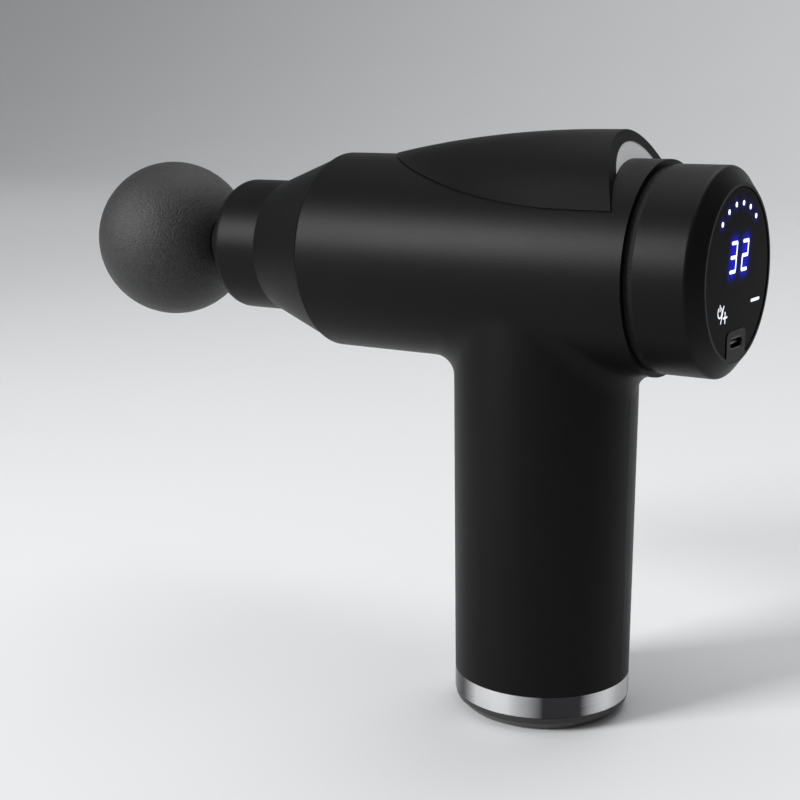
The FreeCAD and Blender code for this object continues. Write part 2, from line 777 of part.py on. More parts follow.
def battery():
    """Three cells in a triangle with their holders, links and protection board."""
    top_z = cell_bottom_z + cell_length
    cells = []
    for x, y in cell_places():
        can = place_z(cell_radius, cell_bottom_z, top_z - 1.0, x, y)
        nub = place_z(cell_radius * 0.4, top_z - 1.0, top_z, x, y)
        cells.append(can.fuse(nub).removeSplitter())
    save("battery_cells", Part.makeCompound(cells))
    bottom = cell_holder(cell_bottom_z - holder_web, cell_bottom_z + holder_height, True)
    top = cell_holder(top_z - holder_height, top_z + holder_web, False)
    save("cell_holder_bottom", bottom)
    save("cell_holder_top", top)

    places = cell_places()
    links = []
    for first, second, face, web_face in (
            (0, 1, top_z, top_z + holder_web),
            (1, 2, cell_bottom_z, cell_bottom_z - holder_web - link_thickness)):
        (xa, ya), (xb, yb) = places[first], places[second]
        length = math.hypot(xb - xa, yb - ya)
        strip = Part.makeBox(length + link_width, link_width, link_thickness,
                             Vec(-link_width / 2, -link_width / 2, 0))
        strip.rotate(Vec(0, 0, 0), AXIS_Z, math.degrees(math.atan2(yb - ya, xb - xa)))
        strip.translate(Vec(xa, ya, web_face))
        low, high = sorted((face, web_face))
        for x, y in (places[first], places[second]):
            strip = strip.fuse(place_z(link_width / 2, low, high, x, y))
        links.append(strip.removeSplitter())
    save("cell_links", Part.makeCompound(links))

    board_radius = handle_radius - shell_wall - spigot_wall - casing_clearance
    save("battery_board", place_z(board_radius, battery_board_z, battery_board_z + board_thickness))


# ---- motor --------------------------------------------------------------------------------------

def motor_levels():
    """Heights of the motor's main faces."""
    plate_top = barrel_height - frame_drop - mount_thickness
    plate_bottom = plate_top - mount_thickness
    bell_top = plate_bottom - bell_gap
    bell_bottom = bell_top - bell_height
    return plate_top, plate_bottom, bell_top, bell_bottom


def motor_screw_places():
    """(x, y) of the screws that hold the motor plate to the drive frame."""
    angles = [math.radians(turn) for turn in quarter_turns]
    return [(motor_screw_orbit * math.cos(angle), motor_screw_orbit * math.sin(angle)) for angle in angles]


def motor():
    """Outrunner motor hung under the drive frame with its shaft upright."""
    plate_top, plate_bottom, bell_top, bell_bottom = motor_levels()
    tube_outer = motor_bearing_outer + bearing_tube_wall
    tube_bottom = bell_bottom + bell_floor + 1.5
    plate = place_z(frame_disc_radius - 1.0, plate_bottom, plate_top)
    carrier = plate.fuse(place_z(tube_outer, tube_bottom, plate_top))
    carrier = carrier.cut(place_z(motor_bearing_outer, tube_bottom - 1, plate_top + 1))
    screws = []
    for x, y in motor_screw_places():
        carrier = carrier.cut(place_z(screw_radius, plate_bottom - 1, plate_top + 1, x, y))
        frame_top = barrel_height - frame_drop
        shank = place_z(screw_radius, plate_bottom, frame_top - screw_head_height, x, y)
        head = place_z(screw_head_radius, frame_top - screw_head_height, frame_top, x, y)
        screws.append(shank.fuse(head).removeSplitter())
    notch = block(cable_notch_x, 40, -cable_notch_half, cable_notch_half,
                  plate_bottom - 1, plate_top + 1)
    save("motor_mount", carrier.cut(notch).removeSplitter())
    save("motor_screws", Part.makeCompound(screws))

    bearings = []
    for z in (tube_bottom, plate_top - motor_bearing_width):
        bearings.append(tube_z(motor_bearing_outer, shaft_radius + running_gap,
                               z, z + motor_bearing_width))
    save("motor_bearings", Part.makeCompound(bearings))

    magnet_outer = bell_radius - bell_wall
    magnet_inner = magnet_outer - magnet_thickness
    stator_outer = magnet_inner - air_gap
    magnet_z = (bell_bottom + bell_floor + bell_top) / 2 - magnet_height / 2
    core_z = (bell_bottom + bell_floor + bell_top) / 2 - stator_height / 2
    core = tube_z(tube_outer + stator_hub, tube_outer, core_z, core_z + stator_height)
    coils = []
    shoe_inner = stator_outer - shoe_thickness
    shoe = tube_z(stator_outer, shoe_inner, core_z, core_z + stator_height)
    for index in range(tooth_count):
        turn = index * 360.0 / tooth_count
        tooth = block(tube_outer + 1, shoe_inner + 0.3, -tooth_width / 2, tooth_width / 2,
                      core_z, core_z + stator_height)
        tip = shoe.common(block(0, 40, -shoe_width / 2, shoe_width / 2,
                                core_z - 1, core_z + stator_height + 1))
        core = core.fuse(spun_z(tooth.fuse(tip), turn))
        coil = block(tube_outer + stator_hub + 1.2, shoe_inner - 0.2, -coil_width / 2, coil_width / 2,
                     core_z - coil_overhang, core_z + stator_height + coil_overhang)
        coil = coil.cut(block(0, 40, -tooth_width / 2, tooth_width / 2, core_z, core_z + stator_height))
        coils.append(spun_z(coil, turn))
    save("stator_core", core.removeSplitter())
    save("stator_windings", Part.makeCompound(coils))

    bell = tube_z(bell_radius, magnet_outer, bell_bottom, bell_top)
    floor = tube_z(bell_radius, shaft_radius, bell_bottom, bell_bottom + bell_floor)
    hub = tube_z(shaft_radius + 2.5, shaft_radius, bell_bottom - 1.0, bell_bottom + 1.0)
    bell = bell.fuse(floor).fuse(hub)
    vent_orbit = (shaft_radius + bell_radius) / 2
    for index in range(bell_vents):
        vent = place_z(bell_vent_radius, bell_bottom - 2, bell_bottom + bell_floor + 1, vent_orbit, 0)
        bell = bell.cut(spun_z(vent, index * 360.0 / bell_vents))
    save("rotor_bell", bell.removeSplitter())

    ring = tube_z(magnet_outer, magnet_inner, magnet_z, magnet_z + magnet_height)
    width = 2 * math.pi * magnet_outer / magnet_count - 0.8
    magnets = []
    for index in range(magnet_count):
        bar = ring.common(block(0, 40, -width / 2, width / 2, magnet_z, magnet_z + magnet_height))
        magnets.append(spun_z(bar, index * 360.0 / magnet_count))
    save("rotor_magnets", Part.makeCompound(magnets))

    wheel_top = barrel_height - wheel_drop
    save("motor_shaft", place_z(shaft_radius, bell_bottom - 1.0, wheel_top))


# ---- crank, rod and piston ----------------------------------------------------------------------

def crank():
    """Crank wheel with its counterweight, and the shouldered pin that carries the rod."""
    top = barrel_height - wheel_drop
    wheel = place_z(wheel_radius, top - wheel_thickness, top)
    weight = place_z(counterweight_radius, barrel_height - counterweight_drop, top)
    weight = weight.common(block(-40, -crank_radius, -40, 40, 0, 300))
    wheel = wheel.fuse(weight).cut(place_z(shaft_radius, 0, 300))
    wheel = wheel.cut(place_z(pin_root_radius, 0, 300, crank_radius, 0))
    save("crank_wheel", wheel.removeSplitter())

    race_half = bearing_width / 2 + running_gap
    pin = place_z(pin_root_radius, top - wheel_thickness, top, crank_radius, 0)
    pin = pin.fuse(place_z(shaft_radius, top, barrel_height + race_half, crank_radius, 0))
    pin = pin.fuse(place_z(pin_shoulder, top, barrel_height - race_half, crank_radius, 0))
    head_z = barrel_height + race_half
    pin = pin.fuse(place_z(pin_shoulder, head_z, head_z + pin_head, crank_radius, 0))
    corners = []
    for index in range(7):
        angle = math.radians(60 * index)
        corners.append(Vec(crank_radius + pin_socket * math.cos(angle), pin_socket * math.sin(angle),
                           head_z + 0.5))
    hexagon = Part.makePolygon(corners)
    pin = pin.cut(Part.Face(hexagon).extrude(Vec(0, 0, 5)))
    save("crank_pin", pin.removeSplitter())


def rod():
    """Connecting rod with a bearing on the crank pin and a slotted eye round the wrist pin."""
    z0 = barrel_height - rod_thickness / 2
    z1 = barrel_height + rod_thickness / 2
    big = crank_radius
    small = wrist_x
    eye_half = wrist_pin_radius + slip_axial
    slot_half = wrist_pin_radius + slip_lateral
    body = place_z(bearing_outer + big_eye_wall, z0, z1, big, 0)
    body = body.fuse(block(small, big, -rod_width / 2, rod_width / 2, z0, z1))
    eye = block(small - eye_half - slip_wall, small + eye_half + slip_wall,
                -slot_half - slip_wall, slot_half + slip_wall, z0, z1)

    def is_upright(edge):
        return edge.BoundBox.ZLength > rod_thickness - 0.1
    body = body.fuse(rounded(eye, 3.0, is_upright))
    slot = block(small - eye_half, small + eye_half, -slot_half, slot_half, z0 - 1, z1 + 1)
    body = body.cut(rounded(slot, 1.5, is_upright))
    body = body.cut(place_z(bearing_outer, z0 - 1, z1 + 1, big, 0))
    pocket = block(small + eye_half + slip_wall + 3, big - bearing_outer - big_eye_wall - 2,
                   -rod_width / 2 + rod_flange, rod_width / 2 - rod_flange,
                   barrel_height + rod_web / 2, z1 + 1)
    mirror_pocket = pocket.mirror(Vec(0, 0, barrel_height), AXIS_Z)
    save("connecting_rod", body.cut(pocket).cut(mirror_pocket).removeSplitter())

    low = barrel_height - bearing_width / 2
    high = barrel_height + bearing_width / 2
    inner_edge = pin_shoulder + 0.4
    outer_edge = inner_edge + 2 * bearing_ball + 0.1
    orbit = (inner_edge + outer_edge) / 2
    pieces = [tube_z(inner_edge, shaft_radius + running_gap, low, high, big, 0)]
    pieces.append(tube_z(bearing_outer, outer_edge, low, high, big, 0))
    for index in range(bearing_balls):
        angle = 2 * math.pi * index / bearing_balls
        centre = Vec(big + orbit * math.cos(angle), orbit * math.sin(angle), barrel_height)
        pieces.append(Part.makeSphere(bearing_ball, centre))
    save("rod_bearing", Part.makeCompound(pieces))


def piston():
    """Clevis, wrist pin and push shaft, which slide together along the barrel."""
    gap = rod_thickness / 2 + side_gap
    clevis = place_x(clevis_block_radius, clevis_block_front, clevis_block_rear)
    for side in (-1, 1):
        low, high = sorted((side * gap, side * (gap + clevis_ear)))
        ear = axis_block(clevis_block_rear - 0.5, wrist_x, -clevis_half_width, clevis_half_width, low, high)
        tip = place_z(clevis_half_width, barrel_height + low, barrel_height + high, wrist_x, 0)
        clevis = clevis.fuse(ear.fuse(tip))
    clevis = clevis.cut(place_z(wrist_pin_radius, barrel_height - 20, barrel_height + 20, wrist_x, 0))
    clevis = clevis.cut(place_x(push_tail, clevis_block_front - 1, clevis_block_rear))
    save("piston_clevis", clevis.removeSplitter())

    end = gap + clevis_ear + 1.2
    pin = place_z(wrist_pin_radius, barrel_height - end, barrel_height + end, wrist_x, 0)
    save("wrist_pin", pin)
    clips = []
    for side in (-1, 1):
        low, high = sorted((side * (gap + clevis_ear), side * (gap + clevis_ear + clip_thickness)))
        clips.append(tube_z(wrist_pin_radius + clip_width, wrist_pin_radius,
                            barrel_height + low, barrel_height + high, wrist_x, 0))
    save("pin_clips", Part.makeCompound(clips))

    shaft = place_x(push_radius, push_front_x, clevis_block_front)
    shaft = shaft.fuse(place_x(push_tail, clevis_block_front, clevis_block_rear))
    shaft = shaft.cut(place_x(push_bore, push_front_x - 1, clevis_block_front - push_plug))
    save("push_shaft", rounded(shaft.removeSplitter(), 0.5, ring_at_x(push_front_x, push_radius)))


def drive_frame():
    """Chassis inside the barrel that ties the motor to the guide tube."""
    top = barrel_height - frame_drop
    bottom = top - mount_thickness
    front = frame_front_x
    ring_outer = barrel_radius - shell_wall - casing_clearance
    body = place_z(frame_disc_radius, bottom, top)
    body = body.fuse(block(front, 0, -frame_rail_half, frame_rail_half, bottom, top))
    envelope = place_x(ring_outer, front, frame_disc_radius)
    reach = frame_cheek_y + frame_cheek_wall
    deck = block(front, frame_cheek_rear_x, -reach, reach, top - mount_thickness / 2, top)
    body = body.fuse(deck.common(envelope))
    for side in (-1, 1):
        low, high = sorted((side * frame_cheek_y, side * reach))
        cheek = axis_block(front, frame_cheek_rear_x, low, high, -frame_drop, frame_cheek_rise)
        body = body.fuse(cheek.common(envelope))
    body = body.fuse(place_x(ring_outer, front, front + frame_plate))
    body = body.cut(place_x(clevis_block_radius + 1.0, front - 1, front + frame_plate + 1))
    body = body.cut(place_z(motor_bearing_outer, bottom - 1, top + 1))
    for turn in quarter_turns:
        body = body.cut(flange_screw_bar(screw_radius, front - 0.5, frame_plate + 1, turn))
    for x, y in motor_screw_places():
        body = body.cut(place_z(screw_radius, bottom - 1, top + 1, x, y))
        body = body.cut(place_z(screw_head_radius, top - screw_head_height, top + 1, x, y))
    notch = block(cable_notch_x, 40, -cable_notch_half, cable_notch_half, bottom - 1, top + 1)
    body = body.cut(notch)
    save("drive_frame", body.removeSplitter())


# ---- head ---------------------------------------------------------------------------------------

def head():
    """Ball head: a soft skin on a hollow core, whose stem plugs into the push shaft."""
    centre = Vec(ball_centre_x, 0, barrel_height)
    core_radius = ball_radius - ball_skin
    plug_radius = push_bore - plug_gap
    plug_rear = stem_flange_x + plug_length
    stem_x = ball_centre_x + core_radius - core_wall - 1.0
    stem = place_x(stem_flange_radius, stem_x, stem_flange_x)
    stem = rounded(stem, 0.8, ring_at_x(stem_flange_x, stem_flange_radius))
    skin = Part.makeSphere(ball_radius, centre).cut(Part.makeSphere(core_radius, centre))
    skin = skin.cut(place_x(stem_flange_radius, ball_centre_x, stem_flange_x))
    save("ball_head", skin)

    core = Part.makeSphere(core_radius, centre).cut(Part.makeSphere(core_radius - core_wall, centre))
    core = core.fuse(stem).fuse(place_x(plug_radius, stem_flange_x, plug_rear))
    rings = []
    for share in (0.35, 0.8):
        x = stem_flange_x + plug_length * share
        groove = tube_x(push_radius, plug_radius - 2 * o_ring_section,
                        x - o_ring_section, x + o_ring_section)
        core = core.cut(groove)
        rings.append(Part.makeTorus(plug_radius - o_ring_section, o_ring_section - 0.03,
                                    Vec(x, 0, barrel_height), AXIS_X))
    save("head_core", core.removeSplitter())
    save("head_rings", Part.makeCompound(rings))


# ---- leads --------------------------------------------------------------------------------------

def lead(points, radius):
    """Round lead along straight runs joined by tangent arcs."""
    edges = []
    start = points[0]
    for before, corner, after in zip(points, points[1:], points[2:]):
        come = (corner - before).normalize()
        leave = (after - corner).normalize()
        turn = come.getAngle(leave)
        shorter = min((corner - before).Length, (after - corner).Length)
        cut = 0.45 * shorter
        bend = cut / math.tan(turn / 2)
        arc_start = corner - come * cut
        arc_end = corner + leave * cut
        middle_way = (leave - come).normalize()
        middle = corner + middle_way * (bend / math.cos(turn / 2) - bend)
        edges.append(Part.makeLine(start, arc_start))
        edges.append(Part.Arc(arc_start, middle, arc_end).toShape())
        start = arc_end
    edges.append(Part.makeLine(start, points[-1]))
    wire = Part.Wire(edges)
    heading = (points[1] - points[0]).normalize()
    circle = Part.Wire(Part.makeCircle(radius, points[0], heading))
    return wire.makePipeShell([circle], True, False)


def leads():
    """Battery leads, motor leads and the flat cable between the two boards."""
    plate_top, plate_bottom, bell_top, bell_bottom = motor_levels()
    lane_x = (bell_radius + handle_radius_at(bell_top) - shell_wall) / 2 + 0.5
    lane_bottom = cell_bottom_z + cell_length + holder_web + link_thickness + lead_radius + 0.2
    corner_x = rear_boss_x - 1.0
    corner_z = barrel_height - rear_boss_drop + boss_radius + lead_radius + 4.0
    pair = []
    for side in (-1, 1):
        y = side * lead_spread
        pair.append(lead([
            Vec(10.0, y, lane_bottom), Vec(lane_x, y, lane_bottom), Vec(lane_x, y, plate_top),
            Vec(corner_x, y, corner_z), Vec(driver_board_x, y, corner_z)], lead_radius))
    save("battery_leads", Part.makeCompound(pair))

    core_middle = (bell_bottom + bell_floor + bell_top) / 2
    coil_top = core_middle + stator_height / 2 + coil_overhang
    start_x = cable_notch_x + phase_lead_radius + 1.0
    trio = []
    for side in (-1, 0, 1):
        y = side * phase_lead_pitch
        trio.append(lead([
            Vec(start_x, y, coil_top), Vec(start_x, y, plate_bottom + mount_thickness),
            Vec(lane_x + 1.0, y, plate_top + 0.5), Vec(corner_x, y, corner_z + 4.0),
            Vec(driver_board_x, y, corner_z + 4.0)], phase_lead_radius))
    save("motor_leads", Part.makeCompound(trio))

    ribbon = axis_block(driver_board_x + board_thickness, display_board_x,
                        -ribbon_half_width, ribbon_half_width, ribbon_rise, ribbon_rise + ribbon_thickness)
    save("display_cable", ribbon)


casing()
fairing()
nose()
guide()
rear_cap()
display_electronics()
driver_electronics()
base()
battery()
motor()
crank()
rod()
piston()
drive_frame()
head()
leads()
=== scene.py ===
import json
import math

import bpy
import numpy as np
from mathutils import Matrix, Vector


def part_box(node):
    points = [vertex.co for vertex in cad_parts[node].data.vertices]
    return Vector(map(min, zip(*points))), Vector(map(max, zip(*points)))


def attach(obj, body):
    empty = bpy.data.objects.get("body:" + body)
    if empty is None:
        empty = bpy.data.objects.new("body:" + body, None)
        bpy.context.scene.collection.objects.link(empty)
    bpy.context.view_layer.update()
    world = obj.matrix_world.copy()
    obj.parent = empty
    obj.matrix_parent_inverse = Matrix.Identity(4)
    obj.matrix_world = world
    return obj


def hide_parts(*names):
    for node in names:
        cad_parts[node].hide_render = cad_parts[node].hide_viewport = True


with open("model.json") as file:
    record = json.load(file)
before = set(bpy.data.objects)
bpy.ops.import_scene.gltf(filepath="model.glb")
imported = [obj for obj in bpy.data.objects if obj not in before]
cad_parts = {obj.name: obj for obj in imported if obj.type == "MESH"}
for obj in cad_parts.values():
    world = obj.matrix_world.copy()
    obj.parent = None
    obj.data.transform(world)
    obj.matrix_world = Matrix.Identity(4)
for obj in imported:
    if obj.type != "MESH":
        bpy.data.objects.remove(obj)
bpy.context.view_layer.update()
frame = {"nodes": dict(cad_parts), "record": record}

# the looks of a massage gun, built round its CAD nodes; dictionaries are in mm and degrees unless their notes
# say otherwise
mm = 0.001


def middle(node):
    low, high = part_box(node)
    return (low + high) / 2


barrelAxis = middle("push_shaft").z
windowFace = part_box("display_window")[1].x
print("frame loaded, barrel axis at", round(barrelAxis, 4))


# shader maths is written as expressions on these
class Wire:
    # one output of a node; using it in an expression adds the Math node that works it out
    def __init__(self, paint, socket):
        self.paint = paint
        self.socket = socket

    def __add__(self, other):
        return self.paint.maths("ADD", self, other)

    def __radd__(self, other):
        return self.paint.maths("ADD", other, self)

    def __sub__(self, other):
        return self.paint.maths("SUBTRACT", self, other)

    def __rsub__(self, other):
        return self.paint.maths("SUBTRACT", other, self)

    def __mul__(self, other):
        return self.paint.maths("MULTIPLY", self, other)

    def __rmul__(self, other):
        return self.paint.maths("MULTIPLY", other, self)

    def __truediv__(self, other):
        return self.paint.maths("DIVIDE", self, other)

    def __abs__(self):
        return self.paint.maths("ABSOLUTE", self)


class Paint:
    # one material: a Principled shader and whatever feeds it
    def __init__(self, name, **constants):
        self.material = bpy.data.materials.new(name)
        self.material.use_nodes = True
        self.tree = self.material.node_tree
        self.tree.nodes.clear()
        self.shader = self.tree.nodes.new("ShaderNodeBsdfPrincipled")
        output = self.tree.nodes.new("ShaderNodeOutputMaterial")
        self.tree.links.new(self.shader.outputs[0], output.inputs["Surface"])
        for socket, value in constants.items():
            self.feed(socket.replace("_", " "), value)

    def feed(self, socket, value):
        self.plug(self.shader.inputs[socket], value)

    def plug(self, socket, value):
        if isinstance(value, Wire):
            self.tree.links.new(value.socket, socket)
        elif hasattr(value, "__len__") and len(value) == 3 and len(socket.default_value) == 4:
            socket.default_value = (*value, 1.0)
        else:
            socket.default_value = value

    # any node: its type, the settings made first, then the values or links of its sockets
    def node(self, kind, settings=None, sockets=None, output=0):
        made = self.tree.nodes.new(kind)
        for setting, value in (settings or {}).items():
            setattr(made, setting, value)
        for socket, value in (sockets or {}).items():
            self.plug(made.inputs[socket], value)
        return Wire(self, made.outputs[output])

    def maths(self, operation, first, second=None, clamp=False):
        sockets = {0: first}
        if second is not None:
            sockets[1] = second
        return self.node("ShaderNodeMath", {"operation": operation, "use_clamp": clamp}, sockets)

    def place(self):
        return self.node("ShaderNodeTexCoord", None, None, "Object")

    def axes(self):
        split = self.node("ShaderNodeSeparateXYZ", None, {0: self.place()})
        outputs = split.socket.node.outputs
        return [Wire(self, outputs[axis]) for axis in range(3)]

    def noise(self, scale, detail=2.0, rough=0.5, place=None):
        sockets = {"Vector": place or self.place(), "Scale": scale, "Detail": detail, "Roughness": rough}
        return self.node("ShaderNodeTexNoise", {"noise_dimensions": "3D"}, sockets)

    def between(self, share, low, high):
        # a Mix node set to colours takes its factor at socket 0 and the colours at 6 and 7, and gives
        # output 2
        settings = {"data_type": "RGBA", "blend_type": "MIX"}
        return self.node("ShaderNodeMix", settings, {0: share, 6: low, 7: high}, 2)

    def bump(self, height, strength, distance):
        sockets = {"Height": height, "Strength": strength, "Distance": distance}
        self.feed("Normal", self.node("ShaderNodeBump", None, sockets))


# colours and rough are low and high of the variation, grain and fine are sizes in mm, relief is the bump's
# strength and depth its height in mm, speckle is the grain's contrast, layers is the pitch of stacked sheets
finishes = {
    "housing_black": {"colours": ((0.0014, 0.0014, 0.0016), (0.004, 0.004, 0.0043)), "rough": (0.36, 0.48),
                      "grain": 0.5, "fine": 0.2, "relief": 0.5, "depth": 0.08, "ior": 1.2},
    "base_satin": {"colours": ((0.012, 0.012, 0.0125), (0.02, 0.02, 0.021)), "rough": (0.3, 0.4),
                   "grain": 0.5, "fine": 0.2, "relief": 0.14, "depth": 0.04, "ior": 1.45},
    "insert_grey": {"colours": ((0.82, 0.82, 0.825), (0.9, 0.9, 0.905)), "rough": (0.46, 0.58),
                    "grain": 0.5, "fine": 0.2, "relief": 0.16, "depth": 0.04},
    "foam_black": {"colours": ((0.0008, 0.0008, 0.001), (0.026, 0.026, 0.027)), "rough": (0.38, 0.58),
                   "grain": 0.6, "fine": 0.3, "relief": 1.0, "depth": 0.34, "ior": 1.43, "speckle": 3.4},
    "rubber_black": {"colours": ((0.003, 0.003, 0.0032), (0.01, 0.01, 0.0105)), "rough": (0.62, 0.8),
                     "grain": 0.5, "fine": 0.25, "relief": 0.5, "depth": 0.1, "ior": 1.25, "speckle": 1.6},
    "core_plastic": {"colours": ((0.02, 0.02, 0.021), (0.032, 0.032, 0.034)), "rough": (0.36, 0.5),
                     "grain": 0.5, "fine": 0.2, "relief": 0.18, "depth": 0.05},
    "bush_bronze": {"colours": ((0.42, 0.27, 0.12), (0.58, 0.4, 0.2)), "rough": (0.28, 0.45),
                    "grain": 0.3, "fine": 0.12, "relief": 0.2, "depth": 0.03, "metal": 1.0},
    "screw_steel": {"colours": ((0.08, 0.08, 0.085), (0.16, 0.16, 0.165)), "rough": (0.32, 0.5),
                    "grain": 0.4, "fine": 0.15, "relief": 0.2, "depth": 0.03, "metal": 1.0},
    "bright_steel": {"colours": ((0.52, 0.52, 0.53), (0.66, 0.66, 0.67)), "rough": (0.16, 0.3),
                     "grain": 0.6, "fine": 0.1, "relief": 0.1, "depth": 0.02, "metal": 1.0},
    "lamination": {"colours": ((0.24, 0.24, 0.25), (0.36, 0.36, 0.37)), "rough": (0.35, 0.5),
                   "grain": 0.35, "fine": 0.2, "relief": 0.3, "depth": 0.05, "metal": 1.0, "layers": 0.35},
    "copper": {"colours": ((0.55, 0.2, 0.07), (0.8, 0.36, 0.16)), "rough": (0.25, 0.4),
               "grain": 0.6, "fine": 0.2, "relief": 0.8, "depth": 0.12, "metal": 1.0, "layers": 0.5},
    "bell_steel": {"colours": ((0.07, 0.07, 0.075), (0.11, 0.11, 0.115)), "rough": (0.34, 0.48),
                   "grain": 0.5, "fine": 0.15, "relief": 0.15, "depth": 0.03, "metal": 1.0},
    "magnet": {"colours": ((0.4, 0.4, 0.41), (0.5, 0.5, 0.51)), "rough": (0.2, 0.35),
               "grain": 0.4, "fine": 0.12, "relief": 0.12, "depth": 0.02, "metal": 1.0},
    "alloy": {"colours": ((0.5, 0.5, 0.51), (0.64, 0.64, 0.65)), "rough": (0.28, 0.42),
              "grain": 0.35, "fine": 0.12, "relief": 0.2, "depth": 0.03, "metal": 1.0},
    "port_metal": {"colours": ((0.05, 0.05, 0.052), (0.08, 0.08, 0.084)), "rough": (0.22, 0.34),
                   "grain": 0.3, "fine": 0.1, "relief": 0.1, "depth": 0.02, "metal": 1.0},
    "nickel": {"colours": ((0.5, 0.47, 0.42), (0.64, 0.61, 0.55)), "rough": (0.22, 0.36),
               "grain": 0.4, "fine": 0.15, "relief": 0.15, "depth": 0.03, "metal": 1.0},
    "cell_wrap": {"colours": ((0.02, 0.13, 0.28), (0.03, 0.18, 0.36)), "rough": (0.2, 0.34),
                  "grain": 1.4, "fine": 0.4, "relief": 0.2, "depth": 0.06, "coat": 0.4},
    "holder_black": {"colours": ((0.016, 0.016, 0.017), (0.026, 0.026, 0.027)), "rough": (0.42, 0.56),
                     "grain": 0.5, "fine": 0.2, "relief": 0.2, "depth": 0.05},
    "board_green": {"colours": ((0.008, 0.085, 0.035), (0.014, 0.13, 0.055)), "rough": (0.28, 0.42),
                    "grain": 0.7, "fine": 0.25, "relief": 0.2, "depth": 0.04, "coat": 0.3},
    "component_black": {"colours": ((0.018, 0.018, 0.018), (0.035, 0.035, 0.035)), "rough": (0.4, 0.55),
                        "grain": 0.3, "fine": 0.12, "relief": 0.2, "depth": 0.03},
    "digit_white": {"colours": ((0.62, 0.66, 0.74), (0.74, 0.78, 0.86)), "rough": (0.35, 0.45),
                    "grain": 0.5, "fine": 0.2, "relief": 0.1, "depth": 0.02},
    "led_blue": {"colours": ((0.12, 0.3, 0.8), (0.2, 0.42, 0.95)), "rough": (0.15, 0.25),
                 "grain": 0.5, "fine": 0.2, "relief": 0.08, "depth": 0.02, "coat": 0.5},
    "lead_red": {"colours": ((0.32, 0.012, 0.01), (0.42, 0.022, 0.018)), "rough": (0.4, 0.52),
                 "grain": 0.9, "fine": 0.3, "relief": 0.2, "depth": 0.05},
    "lead_yellow": {"colours": ((0.5, 0.3, 0.015), (0.62, 0.4, 0.03)), "rough": (0.4, 0.52),
                    "grain": 0.9, "fine": 0.3, "relief": 0.2, "depth": 0.05},
    "lead_grey": {"colours": ((0.2, 0.2, 0.205), (0.28, 0.28, 0.285)), "rough": (0.42, 0.55),
                  "grain": 0.9, "fine": 0.3, "relief": 0.2, "depth": 0.05},
}
# the two casing halves meet on the plane y = 0: within seam of it, in mm, their finish sinks by seamDepth
finishes["housing_shell"] = {**finishes["housing_black"], "seam": 0.2, "seamDepth": 5.0}

# what every finish shares: patchScale is per metre, shares are how much of each layer is mixed in
blend = {"patchScale": 28.0, "patchShare": 0.5, "patchFloor": 0.25, "grainShare": 0.7, "fineShare": 0.3,
         "speckle": 0.9, "underLayers": 0.4, "layerShare": 0.3, "coatRough": 0.12}


def mouldedFinish(name, look):
    # two sizes of grain over slow patches; grain and patches move the colour and the roughness, and both
    # grains raise the relief, which a seam sinks and layers ripple as sin(2 pi z / pitch)
    paint = Paint(name, Metallic=look.get("metal", 0.0))
    if "ior" in look:
        paint.feed("IOR", look["ior"])
    if "coat" in look:
        paint.feed("Coat Weight", look["coat"])
        paint.feed("Coat Roughness", blend["coatRough"])
    grain = paint.noise(1 / (look["grain"] * mm), 2.0, 0.55)
    fine = paint.noise(1 / (look["fine"] * mm), 1.0, 0.5)
    patches = paint.noise(blend["patchScale"], 3.0, 0.6)
    height = grain * blend["grainShare"] + fine * blend["fineShare"]
    spots = (height - 0.5) * look.get("speckle", blend["speckle"])
    share = paint.maths("ADD", patches * blend["patchShare"] + blend["patchFloor"], spots, clamp=True)
    paint.feed("Base Color", paint.between(share, *look["colours"]))
    low, high = look["rough"]
    paint.feed("Roughness", low + (high - low) * paint.maths("ADD", grain * 0.5, patches * 0.5))
    if "seam" in look:
        x, y, z = paint.axes()
        height = height + paint.maths("MINIMUM", abs(y) / (look["seam"] * mm), 1.0) * look["seamDepth"]
    if "layers" in look:
        x, y, z = paint.axes()
        ripple = paint.maths("SINE", z * (2 * math.pi / (look["layers"] * mm)))
        height = height * blend["underLayers"] + ripple * blend["layerShare"]
    paint.bump(height, look["relief"], look["depth"] * mm)
    return paint.material


# the turned ring: its light and dark sectors are painted, evenly spaced round it, and stand for what
# polished metal reflects; sheenTurn is the middle of one light sector, about the handle from +X; pitches
# are across the turning marks, in mm, and runs say how fast the marks change round the ring; narrowTurn is
# in radians; stray bends the sectors' borders and blur roughens them
ring = {"dark": (0.04, 0.04, 0.042), "bright": (0.78, 0.78, 0.785), "sectors": 4, "sheenTurn": -95.0,
        "sharpness": 1.7, "narrowSectors": 2.5, "narrowTurn": 1.1, "narrowShare": 0.16, "stray": 0.5,
        "blur": 0.3, "streakPitch": 0.11, "streakRun": 0.35, "scratchPitch": 0.38, "scratchRun": 1.6,
        "rough": (0.14, 0.34), "streakShare": 0.6, "scratchShare": 0.4, "relief": 0.8, "depth": 0.06}


